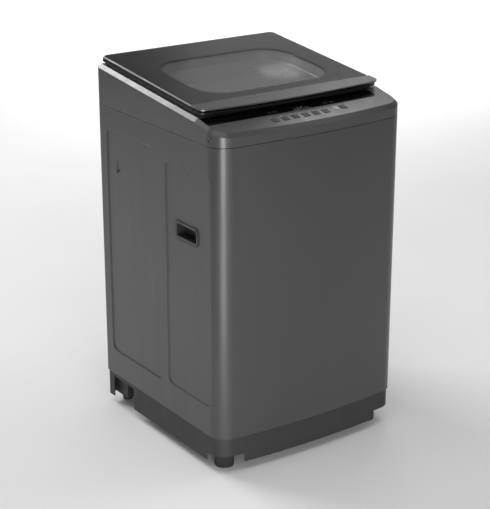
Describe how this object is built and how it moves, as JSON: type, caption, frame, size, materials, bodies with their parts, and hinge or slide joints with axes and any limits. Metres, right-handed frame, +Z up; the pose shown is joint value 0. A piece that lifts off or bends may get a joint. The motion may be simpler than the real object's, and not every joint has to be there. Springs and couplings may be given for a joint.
{
  "type": "top load washing machine",
  "caption": "Free-standing top load washing machine with a dark glass lid, sloping key panel, hung tub, spinning basket, pulsator, belt drive, drain pump and feet.",
  "frame": {"origin": "on the floor, under the middle of the bounding box", "axes": "+Z up, -Y towards the front where the keys are, +X to the right seen from the front"},
  "size_m": [0.59, 0.5942, 1.014],
  "materials": {
    "painted_steel": "satin",
    "galvanised_steel": "satin",
    "stainless_steel": "satin",
    "screw_steel": "satin",
    "shaft_steel": "satin",
    "grip_plastic": "satin",
    "skirt_plastic": "satin",
    "foot_rubber": "matte",
    "top_plastic": "satin",
    "deck_plastic": "satin",
    "display_black": "gloss",
    "key_plastic": "satin",
    "board": "satin",
    "black_plastic": "satin",
    "white_plastic": "satin",
    "lid_plastic": "satin",
    "lid_glass": "gloss",
    "handle_metal": "satin",
    "bowl_plastic": "gloss",
    "bumper_rubber": "matte",
    "tub_plastic": "satin",
    "cast_aluminium": "matte",
    "motor_paint": "satin",
    "belt_rubber": "matte",
    "pulsator_plastic": "satin",
    "ring_plastic": "satin",
    "spring_steel": "satin",
    "gland_rubber": "matte"
  },
  "bodies": {
    "cabinet": {"cabinet_shell": "painted_steel", "rear_panel": "galvanised_steel", "case_screws": "screw_steel", "side_grips": "grip_plastic", "base_skirt": "skirt_plastic", "rear_feet": "foot_rubber", "top_frame": "top_plastic", "deck_trim": "deck_plastic", "display_panel": "display_black", "loading_collar": "deck_plastic", "hinge_brackets": "deck_plastic", "control_board": "board", "lid_lock": "black_plastic", "inlet_valve": "white_plastic", "detergent_housing": "white_plastic", "drain_outlet": "black_plastic", "cord_gland": "gland_rubber", "corner_brackets": "galvanised_steel", "suspension_rods": "shaft_steel", "drain_pump": "black_plastic", "drain_hose": "gland_rubber"},
    "lid": {"lid_frame": "lid_plastic", "lid_glass": "lid_glass", "lid_handle_strip": "handle_metal", "lid_window_bowl": "bowl_plastic", "lid_hinge_pins": "shaft_steel", "lid_bumpers": "bumper_rubber"},
    "tub": {"outer_tub": "tub_plastic", "tub_cover_ring": "tub_plastic", "drive_base_plate": "galvanised_steel", "clutch_housing": "cast_aluminium", "bearings": "shaft_steel", "shaft_seal": "bumper_rubber", "motor_housing": "motor_paint", "drive_belt": "belt_rubber", "suspension_springs": "spring_steel", "sump_bellows": "bumper_rubber"},
    "basket": {"basket": "stainless_steel", "balance_ring": "ring_plastic", "basket_hub": "cast_aluminium", "spin_tube": "shaft_steel", "lint_filters": "white_plastic"},
    "pulsator": {"pulsator": "pulsator_plastic", "pulsator_cap": "pulsator_plastic", "pulsator_shaft": "shaft_steel", "drive_pulley": "cast_aluminium"},
    "motor": {"motor_rotor": "shaft_steel", "motor_pulley": "cast_aluminium"},
    "pump_impeller": {"pump_impeller": "white_plastic"},
    "detergent_drawer": {"detergent_drawer": "white_plastic"},
    "foot_front_left": {"foot_front_left": "foot_rubber"},
    "foot_front_right": {"foot_front_right": "foot_rubber"},
    "key_1": {"key_1": "key_plastic"},
    "key_2": {"key_2": "key_plastic"},
    "key_3": {"key_3": "key_plastic"},
    "key_4": {"key_4": "key_plastic"},
    "key_5": {"key_5": "key_plastic"},
    "key_6": {"key_6": "key_plastic"},
    "key_power": {"key_power": "key_plastic"},
    "key_start": {"key_start": "key_plastic"}
  },
  "joints": [
    {"name": "lid_hinge", "type": "hinge", "parent": "cabinet", "child": "lid", "pos_m": [0, 0.28339, 1.00344], "axis": [-1, 0, 0], "range_deg": [0, 98]},
    {"name": "tub_bounce", "type": "slide", "parent": "cabinet", "child": "tub", "axis": [0, 0, 1], "range_m": [-0.015, 0.01], "stiffness_N_per_m": 12000, "springref_m": 0.02448, "deforming": ["suspension_springs", "sump_bellows"]},
    {"name": "basket_spin", "type": "hinge", "parent": "tub", "child": "basket", "pos_m": [0, 0.005, 0.5], "axis": [0, 0, 1], "continuous": true},
    {"name": "pulsator_spin", "type": "hinge", "parent": "tub", "child": "pulsator", "pos_m": [0, 0.005, 0.2], "axis": [0, 0, 1], "continuous": true},
    {"name": "motor_spin", "type": "hinge", "parent": "tub", "child": "motor", "pos_m": [0.145, 0.005, 0.18], "axis": [0, 0, 1], "continuous": true},
    {"name": "pump_spin", "type": "hinge", "parent": "cabinet", "child": "pump_impeller", "pos_m": [-0.15, 0.005, 0.11], "axis": [0, 0, 1], "continuous": true},
    {"name": "drawer_slide", "type": "slide", "parent": "cabinet", "child": "detergent_drawer", "axis": [0, -1, 0], "range_m": [0, 0.075]},
    {"name": "foot_front_left_travel", "type": "slide", "parent": "cabinet", "child": "foot_front_left", "axis": [0, 0, -1], "range_m": [0, 0.012]},
    {"name": "foot_front_right_travel", "type": "slide", "parent": "cabinet", "child": "foot_front_right", "axis": [0, 0, -1], "range_m": [0, 0.012]},
    {"name": "key_1_press", "type": "slide", "parent": "cabinet", "child": "key_1", "axis": [0, 0.2241, -0.9746], "range_m": [0, 0.0012], "stiffness_N_per_m": 200, "springref_m": -0.002},
    {"name": "key_2_press", "type": "slide", "parent": "cabinet", "child": "key_2", "axis": [0, 0.2241, -0.9746], "range_m": [0, 0.0012], "stiffness_N_per_m": 200, "springref_m": -0.002},
    {"name": "key_3_press", "type": "slide", "parent": "cabinet", "child": "key_3", "axis": [0, 0.2241, -0.9746], "range_m": [0, 0.0012], "stiffness_N_per_m": 200, "springref_m": -0.002},
    {"name": "key_4_press", "type": "slide", "parent": "cabinet", "child": "key_4", "axis": [0, 0.2241, -0.9746], "range_m": [0, 0.0012], "stiffness_N_per_m": 200, "springref_m": -0.002},
    {"name": "key_5_press", "type": "slide", "parent": "cabinet", "child": "key_5", "axis": [0, 0.2241, -0.9746], "range_m": [0, 0.0012], "stiffness_N_per_m": 200, "springref_m": -0.002},
    {"name": "key_6_press", "type": "slide", "parent": "cabinet", "child": "key_6", "axis": [0, 0.2241, -0.9746], "range_m": [0, 0.0012], "stiffness_N_per_m": 200, "springref_m": -0.002},
    {"name": "key_power_press", "type": "slide", "parent": "cabinet", "child": "key_power", "axis": [0, 0.2241, -0.9746], "range_m": [0, 0.0012], "stiffness_N_per_m": 200, "springref_m": -0.002},
    {"name": "key_start_press", "type": "slide", "parent": "cabinet", "child": "key_start", "axis": [0, 0.2241, -0.9746], "range_m": [0, 0.0012], "stiffness_N_per_m": 200, "springref_m": -0.002}
  ],
  "couplings": [
    {"joint": "motor_spin", "follows": "pulsator_spin", "ratio": 3}
  ]
}
